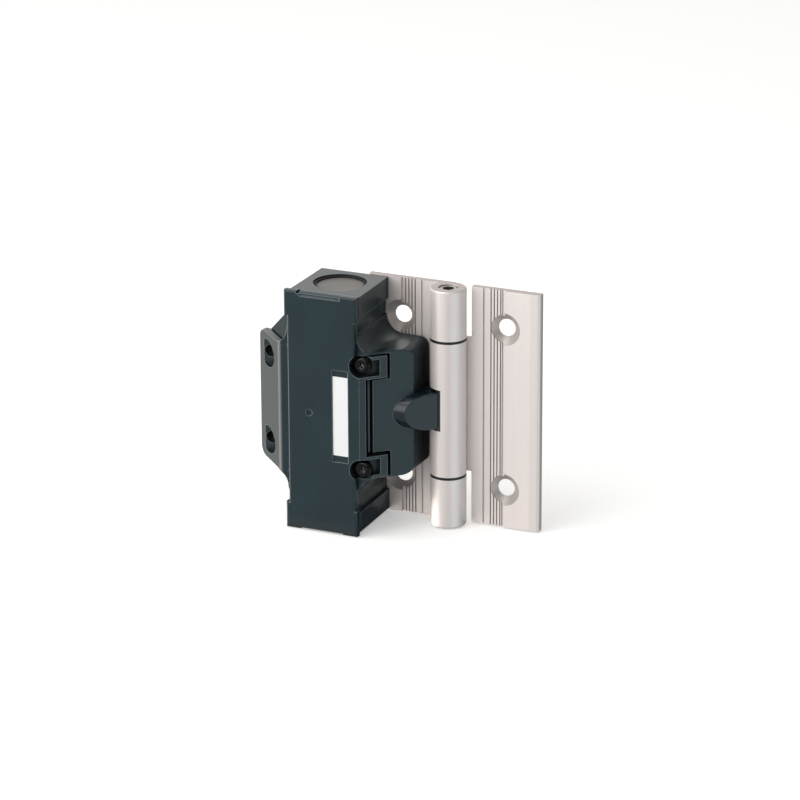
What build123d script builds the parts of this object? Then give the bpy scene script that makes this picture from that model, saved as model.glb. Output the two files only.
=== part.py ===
from build123d import *
import math
import os

# Safety hinge switch, in millimetres.
# Seen from the front: X runs to the right, Y to the back and Z up.
# Every piece is drawn about the hinge axis, at X = 0 and Y = 0.
# The finished pieces are moved so that the origin is the middle of the fixed leaf's
# two mounting holes, on its back face.

# Hinge leaves
HINGE_HEIGHT = 92.0
BARREL_D = 13.5
BARREL_CHAMFER = 0.4
KNUCKLE_END = 20.0
FLANGE_T = 1.0
LEAF_T = 3.1
THIN_LEAF_T = 2.45
MOVING_REACH = 34.7
FIXED_REACH = 33.7
LEAF_GAP = 0.75
LEAF_HOLE_REACH = 20.7
LEAF_HOLE_END = 14.75
LEAF_HOLE_D = 6.6
LEAF_SINK_D = 12.4
EDGE_R = 1.3
BEVEL_W = 2.6
BEVEL_DROP = 0.25
DEEP_GROOVE_REACH = 12.0
DEEP_GROOVE_W = 0.7
GROOVE_DEPTH = 0.55
FINE_GROOVE_REACH = 14.9
FINE_GROOVE_PITCH = 1.27
FINE_GROOVE_W = 0.5
FINE_GROOVES = 4
BAND_W = 1.1
RAISED_REACH = 20.6
WINDOW_HEIGHT = 16.0
WINDOW_EDGE = 0.3

# Pin, bushes and pin screws
PIN_D = 7.0
BUSH_D = 8.8
BUSH_END_GAP = 0.6
PIN_SCREW_D = 7.4
PIN_SCREW_LENGTH = 5.6
PIN_SCREW_SINK = 0.4
HEX_SOCKET = 4.0
HEX_DEPTH = 3.0
RUNNING_FIT = 0.05

# Cam and plunger
CAM_LOW_R = 5.45
CAM_RISE_PER_DEG = 0.0215
CAM_FIT = 0.1
CAM_TIP_GAP = 0.15
OPENING_ANGLE = 135.0
PLUNGER_D = 4.4
SLIDER_REACH = 31.0
SLIDER_LENGTH = 12.5
SLIDER_W = 5.0
SPIGOT_D = 2.2
SPIGOT_LENGTH = 1.2
SEAL_D = 8.4
SEAL_T = 2.0
SEAL_GAP = 0.15
SPRING_D = 4.0
SPRING_WIRE = 0.45
SPRING_TURNS = 3.5
SPRING_WIRE_SIDES = 6

# Housing
CASE_RIGHT = 25.1
CASE_LEFT = 52.7
CASE_TOP = 45.8
CASE_BOTTOM = 45.3
CASE_LEAN = 0.6
WALL = 2.4
WAIST_STEP = 1.1
WAIST_HALF = 37.5
SHADOW_W = 0.8
SHADOW_DEPTH = 0.5
PLINTH_STEP = 1.3
CAVITY_RIGHT = 30.6
CAVITY_TOP = 36.5
CAVITY_FLOOR_Y = 2.4
SEAT_W = 1.1
GASKET_T = 1.2

# Cover
COVER_FRONT = 26.9
COVER_T = 2.6
COVER_LEFT = 54.0
COVER_TOP = 46.2
COVER_BOTTOM = 46.4
COVER_STEP_LEFT = 1.25
COVER_STEP_RIGHT = 0.75
COVER_WAIST_HALF = 36.3
COVER_FOOT_W = 5.8
COVER_FOOT_H = 0.6
COVER_ROUND = 0.7
TONGUE_LEFT = 47.6
TONGUE_RIGHT = 31.5
TONGUE_DROP = 1.5
TONGUE_STEP = 0.5
TONGUE_BEVEL = 0.8
TONGUE_SLOT = 1.3
TONGUE_SLOT_DEPTH = 0.9
LEDGE_BEVEL = 0.3
DIMPLE_X = 44.1
DIMPLE_D = 2.5
DIMPLE_DEPTH = 0.5

# Head on the housing's right flank; a slope is the X - Y of a 45 degree plane
HEAD_REACH = 9.35
HEAD_HALF = 24.5
HEAD_SLOPE = 1.05
HEAD_CORNER_R = 3.5
HEAD_FILLET_R = 7.0
HEAD_LEFT = 20.7
NOTCH_LEFT = 15.85
NOTCH_HALF = 14.0
NOTCH_GAP = 0.4
SEAT_SLOPE = -4.0
FLANK_SEAT_SLOPE = 0.3
GROOVE_FLOOR_SLOPE = -2.6
FLANK_GROOVE_LEFT = 23.2
FLANK_RIB_X = 22.3
FLANK_RIB_W = 0.5
HEAD_GROOVE_Y = -2.0
HEAD_GROOVE_W = 0.9
HEAD_GROOVE_DEPTH = 0.6
HEAD_GROOVE_INNER = 10.5
HEAD_GROOVE_OUTER = 19.5
HEAD_EDGE_R = 0.35

# Cover's flank, ears and screws
FLANK_SLOPE = 3.1
FLANK_T = 1.8
FLANK_RIGHT = 21.95
EAR_RIGHT = 16.0
EAR_INNER = 15.0
EAR_OUTER = 23.4
EAR_BACK_GAP = 0.1
EAR_RIM = 1.1
EAR_RIM_RIGHT = 2.07
EAR_POCKET_DEPTH = 1.9
SCREW_REACH = 23.6
SCREW_PITCH = 40.4
SCREW_HEAD_D = 6.8
SCREW_HEAD_T = 2.2
SCREW_D = 3.4
SCREW_LENGTH = 12.0
SCREW_RECESS_D = 8.6
SCREW_SEAT_Y = -23.1
SCREW_BOSS_D = 10.4
SCREW_BOSS_FLOOR = 1.2
CROSS_L = 4.0
CROSS_W = 0.9
CROSS_DEPTH = 1.4

# Nose
NOSE_SLOPE = 5.6
NOSE_SEAT_SLOPE = -1.5
NOSE_HALF = 7.0
NOSE_FRONT = 16.1
NOSE_BACK_Y = 3.5
NOSE_SHANK_REACH = 12.5
NOSE_GAP = 0.3
NOSE_ROUND = 0.35

# Mounting wing
WING_REACH = 78.6
WING_SLOPE = 75.1
WING_FRONT = 11.3
WING_MID_Z = -5.5
WING_HALF = 25.0
WING_CORNER_R = 3.4
WING_EDGE_R = 3.5
FLANGE_DEPTH = 3.5
RAMP_ANGLE = 58.0
RAMP_GROOVE_W = 0.9
RAMP_GROOVE_DEPTH = 1.0
WEB_ROOT = 60.5
WEB_R = 6.0
WEB_SHOULDER_R = 3.0
WING_HOLE_REACH = 72.6
WING_HOLE_PITCH = 34.4
WING_HOLE_D = 4.8
WING_POCKET_D = 10.5
WING_POCKET_FLOOR_Y = 0.4

# Cable entry
ENTRY_D = 20.0
ENTRY_REACH = 39.1
ENTRY_Y = -9.6
ENTRY_RING_W = 1.15
ENTRY_SINK = 1.1
ENTRY_RING_SINK = 0.5
ENTRY_LIP = 2.4
ENTRY_PLUG_T = 6.0

# Label
LABEL_RIGHT = 28.4
LABEL_W = 6.2
LABEL_RECESS_HALF = 17.8
LABEL_HALF = 15.3
LABEL_RECESS_DEPTH = 0.45
LABEL_T = 0.2

# Screws between the fixed leaf and the housing
LEAF_SCREW_INSET = 3.9
LEAF_SCREW_END = 6.0
LEAF_SCREW_D = 3.0
LEAF_SCREW_HEAD_D = 5.8
LEAF_SCREW_LENGTH = 8.0

# Contact block and contacts
BLOCK_GAP = 0.3
BLOCK_HALF = 17.0
BLOCK_FRONT_Y = -13.0
BLOCK_END_WALL = 1.2
CHANNEL_GAP = 0.15
BRIDGE_REACHES = (33.6, 39.6)
BRIDGE_T = 0.6
BRIDGE_W = 3.6
CONTACT_GAP = 0.05
CONTACT_T = 0.8
CONTACT_LENGTH = 6.0
CONTACT_END_WALL = 3.0
BRIDGE_END_GAP = 1.5
FOOT_LENGTH = 5.3
TERMINAL_SETBACK = 1.95
TERMINAL_D = 2.6
TERMINAL_HEAD_D = 4.6
TERMINAL_HEAD_T = 1.6
TERMINAL_DEPTH = 5.0
CLAMP_W = 5.0
CLAMP_T = 0.8
BLOCK_SCREW_REACH = 47.3
BLOCK_SCREW_INSET = 2.8
BLOCK_SCREW_D = 3.0
BLOCK_SCREW_HEAD_D = 5.2
BLOCK_SCREW_HEAD_T = 1.8
BLOCK_SCREW_TIP_Y = 5.5

# Places that follow from the sizes
BARREL_R = BARREL_D / 2
HALF = HINGE_HEIGHT / 2
BACK_Y = BARREL_R
LEAF_FRONT_Y = BACK_Y - LEAF_T
THIN_FRONT_Y = BACK_Y - THIN_LEAF_T
KNUCKLE_HALF = HALF - KNUCKLE_END
FLANGE_OUTER = KNUCKLE_HALF + FLANGE_T
LEAF_INNER = BARREL_R + LEAF_GAP
PIN_HALF = HALF - PIN_SCREW_SINK - PIN_SCREW_LENGTH
BUSH_END = PIN_HALF - BUSH_END_GAP
LEAF_HOLE_Z = HALF - LEAF_HOLE_END
LEAF_SCREW_Z = HALF - LEAF_SCREW_END
LEAF_SCREW_REACH = CASE_RIGHT + LEAF_SCREW_INSET
CASE_RIGHT_X = -CASE_RIGHT
CASE_LEFT_X = -CASE_LEFT
WAIST_RIGHT_X = CASE_RIGHT_X - WAIST_STEP
COVER_FRONT_Y = -COVER_FRONT
RIM_Y = COVER_FRONT_Y + COVER_T
CAVITY_LEFT_X = CASE_LEFT_X + WALL
CAVITY_RIGHT_X = -CAVITY_RIGHT
CAVITY_BOTTOM = CASE_BOTTOM - WALL
PLUNGER_TRAVEL = CAM_RISE_PER_DEG * OPENING_ANGLE
TIP_R = PLUNGER_D / 2
TIP_X = -CAM_LOW_R - CAM_TIP_GAP
SLIDER_END_X = -SLIDER_REACH - SLIDER_LENGTH
BLOCK_LEFT_X = CAVITY_LEFT_X + BLOCK_GAP
BLOCK_RIGHT_X = CAVITY_RIGHT_X - BLOCK_GAP
SPRING_SEAT_X = BLOCK_LEFT_X + BLOCK_END_WALL
CONTACT_OUT = BLOCK_HALF - CONTACT_END_WALL
CONTACT_IN = CONTACT_OUT - CONTACT_LENGTH
TERMINAL_Z = (CONTACT_IN + CONTACT_OUT) / 2
BRIDGE_HALF = CONTACT_OUT - BRIDGE_END_GAP
WING_TOP = WING_HALF + WING_MID_Z
RAMP_SLOPE = WING_SLOPE - FLANGE_DEPTH * math.sqrt(2)
NOTCH_OUTER = EAR_OUTER + NOTCH_GAP
FAR = 60.0


def block(x0, x1, y0, y1, z0, z1):
    """A box between two corners."""
    centre = Pos((x0 + x1) / 2, (y0 + y1) / 2, (z0 + z1) / 2)
    return centre * Box(abs(x1 - x0), abs(y1 - y0), abs(z1 - z0))


def rod_x(y, z, d, x0, x1):
    """A round rod along X."""
    return Pos((x0 + x1) / 2, y, z) * Rot(0, 90, 0) * Cylinder(d / 2, abs(x1 - x0))


def rod_y(x, z, d, y0, y1):
    """A round rod along Y."""
    return Pos(x, (y0 + y1) / 2, z) * Rot(90, 0, 0) * Cylinder(d / 2, abs(y1 - y0))


def rod_z(x, y, d, z0, z1):
    """A round rod along Z."""
    return Pos(x, y, (z0 + z1) / 2) * Cylinder(d / 2, abs(z1 - z0))


def plan_prism(points, z0, z1):
    """A plan outline, raised from z0 to z1."""
    face = make_face(Polyline(*points, close=True))
    return Pos(0, 0, z0) * extrude(face, z1 - z0, dir=(0, 0, 1))


def front_prism(edges, y0, y1):
    """A front outline drawn in X and Z, extruded back from y0 to y1."""
    face = Plane.XZ * make_face(edges)
    return Pos(0, y0, 0) * extrude(face, y1 - y0, dir=(0, 1, 0))


def ahead_of_slope(c, z_half=FAR):
    """Everything in front of the 45 degree plane X - Y = c, facing front right."""
    return plan_prism([(-FAR, -FAR - c), (FAR / 2, FAR / 2 - c), (2 * FAR, -FAR - c)], -z_half, z_half)


def slope_slab(c_back, c_front, left, right, z0, z1):
    """A box with 45 degree faces; left and right are the X of its ends on the front plane."""
    inset = (c_front - c_back) / 2
    points = [(left, left - c_front), (right, right - c_front)]
    points += [(right - inset, right - c_front + inset), (left - inset, left - c_front + inset)]
    return plan_prism(points, z0, z1)


def screw(head_d, head_t, d, length):
    """A screw along -Z: its seat at Z = 0, its head above and its shank below."""
    head = Pos(0, 0, head_t / 2) * Cylinder(head_d / 2, head_t)
    head = chamfer(head.edges().filter_by(GeomType.CIRCLE).sort_by(Axis.Z)[-1], head_t * 0.3)
    return head + Pos(0, 0, -length / 2) * Cylinder(d / 2, length)


def leaf_outline(reach):
    """Section of the extruded leaf, right of the axis: grooves, raised band, bevel and round edge."""
    floor_y = THIN_FRONT_Y + GROOVE_DEPTH
    deep_end = DEEP_GROOVE_REACH + DEEP_GROOVE_W
    pts = [(0, BACK_Y), (0, THIN_FRONT_Y), (DEEP_GROOVE_REACH, THIN_FRONT_Y), (DEEP_GROOVE_REACH, floor_y)]
    pts += [(deep_end, floor_y), (deep_end, THIN_FRONT_Y)]
    for i in range(FINE_GROOVES):
        x = FINE_GROOVE_REACH + i * FINE_GROOVE_PITCH
        pts += [(x, THIN_FRONT_Y), (x + FINE_GROOVE_W / 2, floor_y), (x + FINE_GROOVE_W, THIN_FRONT_Y)]
    band = RAISED_REACH - BAND_W
    pts += [(band, THIN_FRONT_Y), (band, floor_y), (RAISED_REACH, floor_y), (RAISED_REACH, LEAF_FRONT_Y)]
    edge_y = LEAF_FRONT_Y + BEVEL_DROP
    pts += [(reach - EDGE_R - BEVEL_W, LEAF_FRONT_Y), (reach - EDGE_R, edge_y)]
    front = Polyline(*pts)
    edge = RadiusArc((reach - EDGE_R, edge_y), (reach, edge_y + EDGE_R), -EDGE_R)
    back = Polyline((reach, edge_y + EDGE_R), (reach, BACK_Y), (0, BACK_Y))
    return make_face([front, edge, back])


def leaf_hole(side):
    """One countersunk hole of a leaf, as a solid to cut."""
    z = side * LEAF_HOLE_Z
    depth = (LEAF_SINK_D - LEAF_HOLE_D) / 2
    through = rod_y(LEAF_HOLE_REACH, z, LEAF_HOLE_D, 0, BACK_Y + 1)
    cone = Rot(90, 0, 0) * Cone(LEAF_HOLE_D / 2, LEAF_SINK_D / 2, depth)
    mouth = rod_y(LEAF_HOLE_REACH, z, LEAF_SINK_D, 0, LEAF_FRONT_Y)
    return through + Pos(LEAF_HOLE_REACH, LEAF_FRONT_Y + depth / 2, z) * cone + mouth


def leaf_blank(reach):
    """The full-height extrusion of a right-hand leaf, with its barrel and its holes."""
    plate = Pos(0, 0, -HALF) * extrude(leaf_outline(reach), HINGE_HEIGHT, dir=(0, 0, 1))
    barrel = Cylinder(BARREL_R, HINGE_HEIGHT)
    barrel = chamfer(barrel.edges().filter_by(GeomType.CIRCLE), BARREL_CHAMFER)
    return plate + barrel - leaf_hole(1) - leaf_hole(-1)


def leaf_screw_cutter(z):
    """Hole and countersink of one leaf screw, opening on the back face."""
    depth = (LEAF_SCREW_HEAD_D - LEAF_SCREW_D) / 2
    cone = Rot(-90, 0, 0) * Cone(LEAF_SCREW_D / 2, LEAF_SCREW_HEAD_D / 2, depth)
    hole = rod_y(-LEAF_SCREW_REACH, z, LEAF_SCREW_D, BACK_Y - LEAF_SCREW_LENGTH, BACK_Y)
    return hole + Pos(-LEAF_SCREW_REACH, BACK_Y - depth / 2, z) * cone


def fixed_leaf():
    """Left leaf: the mirrored blank, milled out in the middle for the moving knuckle."""
    leaf = mirror(leaf_blank(FIXED_REACH), about=Plane.YZ)
    leaf -= block(-LEAF_INNER, FAR, -FAR, FAR, -FLANGE_OUTER, FLANGE_OUTER)
    leaf -= rod_z(0, 0, PIN_SCREW_D, -FAR, FAR)
    for side in (-1, 1):
        leaf -= rod_z(0, 0, BUSH_D, side * FLANGE_OUTER, side * BUSH_END)
        leaf -= leaf_screw_cutter(side * LEAF_SCREW_Z)
    return leaf


def moving_leaf():
    """Right leaf: only the middle knuckle is left of its barrel, with the window in its left half."""
    leaf = leaf_blank(MOVING_REACH)
    knuckle_end = KNUCKLE_HALF - RUNNING_FIT
    for side in (-1, 1):
        leaf -= block(-FAR, LEAF_INNER, -FAR, FAR, side * knuckle_end, side * FAR)
    leaf -= rod_z(0, 0, PIN_D, -FAR, FAR)
    leaf -= block(-FAR, -WINDOW_EDGE, -FAR, FAR, -WINDOW_HEIGHT / 2, WINDOW_HEIGHT / 2)
    return leaf


def hinge_pin():
    """Steel pin between the two pin screws."""
    pin = Cylinder(PIN_D / 2, 2 * (PIN_HALF - RUNNING_FIT))
    return chamfer(pin.edges().filter_by(GeomType.CIRCLE), BARREL_CHAMFER)


def flanged_bush(side):
    """Plastic bush in an outer knuckle. Its flange is the black ring between the knuckles."""
    sleeve = rod_z(0, 0, BUSH_D, side * KNUCKLE_HALF, side * BUSH_END)
    flange = rod_z(0, 0, BARREL_D, side * KNUCKLE_HALF, side * FLANGE_OUTER)
    return sleeve + flange - rod_z(0, 0, PIN_D + 2 * RUNNING_FIT, 0, side * FAR)


def pin_screw(side):
    """Hex-socket screw that closes the end of an outer knuckle."""
    body = Cylinder(PIN_SCREW_D / 2, PIN_SCREW_LENGTH)
    body = chamfer(body.edges().filter_by(GeomType.CIRCLE), BARREL_CHAMFER)
    socket = extrude(RegularPolygon(HEX_SOCKET / 2, 6, major_radius=False), HEX_DEPTH)
    body -= Pos(0, 0, PIN_SCREW_LENGTH / 2 - HEX_DEPTH) * socket
    return Pos(0, 0, side * (PIN_HALF + PIN_SCREW_LENGTH / 2)) * Rot(90 - 90 * side, 0, 0) * body


def cam_radius(angle):
    """Radius of the cam at a polar angle: level at first, then a steady rise with the opening angle."""
    opened = max(angle - 180, 0)
    return min(CAM_LOW_R + CAM_RISE_PER_DEG * opened, BARREL_R)


def switching_cam():
    """Half-round cam, seated on the pin in the window."""
    rim = []
    for angle in range(95, 266, 10):
        r = cam_radius(angle)
        rim.append((r * math.cos(math.radians(angle)), r * math.sin(math.radians(angle))))
    flat = Polyline(rim[-1], (-WINDOW_EDGE, rim[-1][1]), (-WINDOW_EDGE, rim[0][1]), rim[0])
    height = WINDOW_HEIGHT - 2 * CAM_FIT
    cam = extrude(make_face([Spline(*rim), flat]), height, dir=(0, 0, 1))
    return Pos(0, 0, -height / 2) * cam - rod_z(0, 0, PIN_D, -FAR, FAR)


def nose_blank():
    """The nose: a D section along X, ended by a 45 degree face and by the barrel's clearance."""
    r = NOSE_HALF
    front_y = -NOSE_FRONT + r
    arc = ThreePointArc((front_y, r), (-NOSE_FRONT, 0), (front_y, -r))
    sides = Polyline((front_y, -r), (NOSE_BACK_Y, -r), (NOSE_BACK_Y, r), (front_y, r))
    section = Plane.YZ * make_face([arc, sides])
    body = Pos(-FAR / 2, 0, 0) * extrude(section, FAR / 2, dir=(1, 0, 0))
    shank = block(-NOSE_SHANK_REACH, 0, -FAR, FAR, -FAR, FAR)
    body &= ahead_of_slope(NOSE_SEAT_SLOPE) + shank
    body -= ahead_of_slope(NOSE_SLOPE)
    return body - rod_z(0, 0, BARREL_D + 2 * NOSE_GAP, -FAR, FAR)


def plunger_guide():
    """The nose with its rounded face and the plunger's bore."""
    body = nose_blank()
    slanted = body.faces().filter_by(lambda f: abs(f.normal_at().X - math.sqrt(0.5)) < 0.01)
    face = slanted.sort_by(Axis.Y)[0]
    edges = [e for e in face.edges() if e.center().X < -NOSE_GAP - 2]
    body = fillet(edges, NOSE_ROUND)
    return body - rod_x(0, 0, PLUNGER_D + 2 * RUNNING_FIT, -FAR, 0)


def case_layer(inset, y0, y1):
    """A layer of the case, drawn in on every side: its right wall leans and has a narrower waist."""
    lean = CASE_LEAN / (LEAF_FRONT_Y - RIM_Y)
    left = CASE_LEFT_X + inset
    x0 = CASE_RIGHT_X - inset - lean * (y0 - RIM_Y)
    x1 = CASE_RIGHT_X - inset - lean * (y1 - RIM_Y)
    body = plan_prism([(left, y0), (x0, y0), (x1, y1), (left, y1)], inset - CASE_BOTTOM, CASE_TOP - inset)
    waist = [(x0 - WAIST_STEP, y0), (0, y0), (0, y1), (x1 - WAIST_STEP, y1)]
    return body - plan_prism(waist, -WAIST_HALF - inset, WAIST_HALF + inset)


def case():
    """The case: a thin drawn-in layer under the cover, the walls, and the plinth beside the leaf."""
    body = case_layer(0, RIM_Y + SHADOW_W, LEAF_FRONT_Y) + case_layer(SHADOW_DEPTH, RIM_Y, RIM_Y + SHADOW_W)
    return body + case_layer(PLINTH_STEP, LEAF_FRONT_Y, BACK_Y)


def cover_outline():
    """Front outline of the cover: two wide ends and a narrower waist."""
    left = -COVER_LEFT
    right = CASE_RIGHT_X
    r = right - COVER_STEP_RIGHT
    w = left + COVER_STEP_LEFT
    h = COVER_WAIST_HALF
    pts = [(left, -COVER_BOTTOM), (right, -COVER_BOTTOM), (right, -h), (r, -h), (r, h), (right, h)]
    pts += [(right, COVER_TOP), (left, COVER_TOP), (left, h), (w, h), (w, -h), (left, -h)]
    return Polyline(*pts, close=True)


def head():
    """The head: flat top and bottom, concave fillets at the case, rounded right corners."""
    x0 = WAIST_RIGHT_X
    r = HEAD_FILLET_R
    c = HEAD_CORNER_R
    right = -HEAD_REACH
    half = [Line((x0 - WALL, 0), (right, 0)), Line((right, 0), (right, HEAD_HALF - c))]
    half.append(RadiusArc((right, HEAD_HALF - c), (right - c, HEAD_HALF), -c))
    half.append(Line((right - c, HEAD_HALF), (x0 + r, HEAD_HALF)))
    half.append(RadiusArc((x0 + r, HEAD_HALF), (x0, HEAD_HALF + r), r))
    half.append(Polyline((x0, HEAD_HALF + r), (x0 - WALL, HEAD_HALF + r), (x0 - WALL, 0)))
    upper = front_prism(half, RIM_Y, LEAF_FRONT_Y)
    body = upper + mirror(upper, about=Plane.XY)
    body -= ahead_of_slope(HEAD_SLOPE)
    slanted = body.faces().filter_by(lambda f: f.normal_at().X > 0.5 and f.normal_at().Y < -0.5)
    edges = [e for e in slanted.sort_by(SortBy.AREA)[-1].edges() if e.center().X > x0 + 1]
    body = fillet(edges, HEAD_EDGE_R)
    for side in (-1, 1):
        z0 = side * HEAD_GROOVE_INNER
        z1 = side * HEAD_GROOVE_OUTER
        body -= block(right - HEAD_GROOVE_DEPTH, right, HEAD_GROOVE_Y, HEAD_GROOVE_Y + HEAD_GROOVE_W, z0, z1)
    return body


def behind_diagonal(c, y1, z0, z1):
    """Everything behind the 45 degree plane X + Y = -c, facing front left, up to Y = y1."""
    return plan_prism([(-y1 - c, y1), (FAR / 2, -c - FAR / 2), (FAR / 2, y1)], z0, z1)


def wing_ramp(side):
    """The ramp that rises from the wing's end face to the case, with a groove at its foot."""
    z = WING_MID_Z + side * WING_HALF
    foot = Plane(origin=(-RAMP_SLOPE / 2, -RAMP_SLOPE / 2, z), x_dir=(1, 1, 0), z_dir=(1, -1, 0))
    run = FAR / math.tan(math.radians(RAMP_ANGLE))
    wedge = extrude(foot * make_face(Polyline((0, 0), (run, side * FAR), (run, 0), close=True)), FAR, both=True)
    ramp = wedge & block(-WING_REACH, CASE_LEFT_X + WALL, -FAR, LEAF_FRONT_Y, z, z + side * FAR)
    return ramp & block(-FAR * 2, FAR, -FAR, FAR, -WAIST_HALF, WAIST_HALF)


def wing_web(side):
    """Front outline of the web that joins the wing's front edge to the case, with a concave foot."""
    z = WING_MID_Z + side * WING_HALF
    root = -WEB_ROOT
    foot = root - WEB_R
    inner = CASE_LEFT_X + WALL
    top = z + side * WEB_R
    end = top + side * WEB_SHOULDER_R
    edges = [RadiusArc((foot, z), (root, top), -side * WEB_R)]
    edges.append(RadiusArc((root, top), (root + WEB_SHOULDER_R, end), side * WEB_SHOULDER_R))
    edges.append(Polyline((root + WEB_SHOULDER_R, end), (inner, end), (inner, z), (foot, z)))
    return front_prism(edges, -WING_FRONT, WALL - WING_FRONT)


def wing():
    """Mounting wing: a 45 degree flange with a rounded front edge, end ramps, webs and its plinth."""
    z0 = WING_MID_Z - WING_HALF
    inner = CASE_LEFT_X + WALL
    column = behind_diagonal(WING_SLOPE, LEAF_FRONT_Y, -FAR, FAR)
    column &= block(-WING_REACH, inner, -WING_FRONT, LEAF_FRONT_Y, -FAR, FAR)
    vertex = column.edges().filter_by(Axis.Z).sort_by(Axis.Y)
    column = fillet([e for e in vertex if e.center().X < CASE_LEFT_X - 1 and e.center().Y < -1], WING_EDGE_R)
    body = column & block(-2 * FAR, FAR, -FAR, FAR, z0, WING_TOP)
    corners = body.edges().filter_by(Axis.Y).sort_by(Axis.X)[:2]
    body = fillet(corners, WING_CORNER_R)
    for side in (-1, 1):
        z = WING_MID_Z + side * WING_HALF
        body += wing_ramp(side)
        body += column & wing_web(side)
        groove = behind_diagonal(RAMP_SLOPE + RAMP_GROOVE_W * math.sqrt(2), FAR, z - side * RAMP_GROOVE_DEPTH, z)
        body -= groove - behind_diagonal(RAMP_SLOPE, 2 * FAR, -FAR, FAR)
    step = PLINTH_STEP
    return body + block(step - WING_REACH, inner, LEAF_FRONT_Y, BACK_Y, z0 + step, WING_TOP - step)


def wing_hole(side):
    """One mounting hole of the wing with its pocket."""
    z = WING_MID_Z + side * WING_HOLE_PITCH / 2
    pocket = rod_y(-WING_HOLE_REACH, z, WING_POCKET_D, -FAR, WING_POCKET_FLOOR_Y)
    return pocket + rod_y(-WING_HOLE_REACH, z, WING_HOLE_D, 0, BACK_Y)


def cover_screw_hole(side, d):
    """The hole of one cover screw, from its seat inwards."""
    return rod_y(-SCREW_REACH, side * SCREW_PITCH / 2, d, SCREW_SEAT_Y, SCREW_SEAT_Y + SCREW_LENGTH)


def screw_boss(side):
    """The part of a screw's round boss that stands behind the ear, in the housing."""
    boss = rod_y(-SCREW_REACH, side * SCREW_PITCH / 2, SCREW_BOSS_D, RIM_Y, SCREW_SEAT_Y + SCREW_BOSS_FLOOR)
    return boss - ahead_of_slope(SEAT_SLOPE + 1)


def block_screw_places():
    """Places of the two contact block screws, in X and Z."""
    return [(-BLOCK_SCREW_REACH, side * (BLOCK_HALF - BLOCK_SCREW_INSET)) for side in (-1, 1)]


def housing():
    """The moulded case with its head, wing, cavity, entry bore and seats."""
    body = case() + head() + wing()
    body -= block(-FIXED_REACH, 0, LEAF_FRONT_Y, FAR, -FAR, FAR)
    body -= block(CAVITY_LEFT_X, CAVITY_RIGHT_X, -FAR, CAVITY_FLOOR_Y, -CAVITY_BOTTOM, CAVITY_TOP)
    body -= gasket_blank()
    body -= rod_z(-ENTRY_REACH, ENTRY_Y, ENTRY_D, 0, FAR)
    flank_corner = RIM_Y + FLANK_SEAT_SLOPE
    body -= slope_slab(FLANK_SEAT_SLOPE, FLANK_SLOPE, flank_corner, -FLANK_RIGHT, -EAR_INNER, EAR_INNER)
    body -= slope_slab(GROOVE_FLOOR_SLOPE, HEAD_SLOPE, -FLANK_GROOVE_LEFT, -HEAD_LEFT, -NOTCH_HALF, NOTCH_HALF)
    body += slope_slab(GROOVE_FLOOR_SLOPE, FLANK_SEAT_SLOPE, -FLANK_RIB_X, FLANK_RIB_W - FLANK_RIB_X,
                       -NOTCH_HALF, NOTCH_HALF)
    for side in (-1, 1):
        z0 = side * NOTCH_HALF
        z1 = side * NOTCH_OUTER
        body -= slope_slab(SEAT_SLOPE, HEAD_SLOPE, RIM_Y + SEAT_SLOPE - 3, -NOTCH_LEFT, z0, z1)
        body -= screw_boss(side)
        body -= cover_screw_hole(side, SCREW_D)
        body -= wing_hole(side)
        body -= leaf_screw_cutter(side * LEAF_SCREW_Z)
    body -= nose_blank()
    body -= rod_x(0, 0, SEAL_D, -NOSE_SHANK_REACH - SEAL_T, -NOSE_SHANK_REACH)
    body -= rod_x(0, 0, PLUNGER_D + 4 * RUNNING_FIT, CAVITY_RIGHT_X - 1, -HEAD_REACH)
    for x, z in block_screw_places():
        body -= rod_y(x, z, BLOCK_SCREW_D, 0, BLOCK_SCREW_TIP_Y)
    return body


def gasket_blank():
    """The seat of the cover gasket, with the cavity's mouth filled in."""
    x0 = CAVITY_LEFT_X - SEAT_W
    x1 = CAVITY_RIGHT_X + SEAT_W
    return block(x0, x1, RIM_Y, RIM_Y + GASKET_T, -CAVITY_BOTTOM - SEAT_W, CAVITY_TOP + SEAT_W)


def cover_gasket():
    """Soft ring between the cover and the housing."""
    return gasket_blank() - block(CAVITY_LEFT_X, CAVITY_RIGHT_X, -FAR, FAR, -CAVITY_BOTTOM, CAVITY_TOP)


def ear(side):
    """One screw ear of the cover, as a block with its outer faces at 45 degrees."""
    fold_x = FLANK_SLOPE - COVER_FRONT
    depth = (FLANK_SLOPE - SEAT_SLOPE) / 2 - EAR_BACK_GAP
    tip = (-EAR_RIGHT, -EAR_RIGHT - FLANK_SLOPE)
    heel = (tip[0] - depth, tip[1] + depth)
    rim_x = RIM_Y + heel[0] - heel[1]
    inner = rim_x - WALL / 2
    pts = [(inner, COVER_FRONT_Y), (fold_x, COVER_FRONT_Y), tip, heel, (rim_x, RIM_Y), (inner, RIM_Y)]
    return plan_prism(pts, side * EAR_INNER, side * EAR_OUTER)


def ear_pocket(side):
    """The open box of an ear, joined to the round screw recess."""
    floor_c = FLANK_SLOPE - 2 * EAR_POCKET_DEPTH * math.sqrt(0.5)
    right = -EAR_RIGHT - EAR_RIM_RIGHT
    left = -SCREW_REACH
    inset = (FLANK_SLOPE - floor_c) / 2
    pts = [(right - inset, right - FLANK_SLOPE + inset), (right + inset, right - FLANK_SLOPE - inset)]
    pts += [(right, -FAR), (left, -FAR), (left, left - floor_c)]
    z0 = side * (EAR_INNER + EAR_RIM)
    z1 = side * (EAR_OUTER - EAR_RIM)
    z = side * SCREW_PITCH / 2
    return plan_prism(pts, z0, z1) + rod_y(-SCREW_REACH, z, SCREW_RECESS_D, -FAR, SCREW_SEAT_Y)


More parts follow.
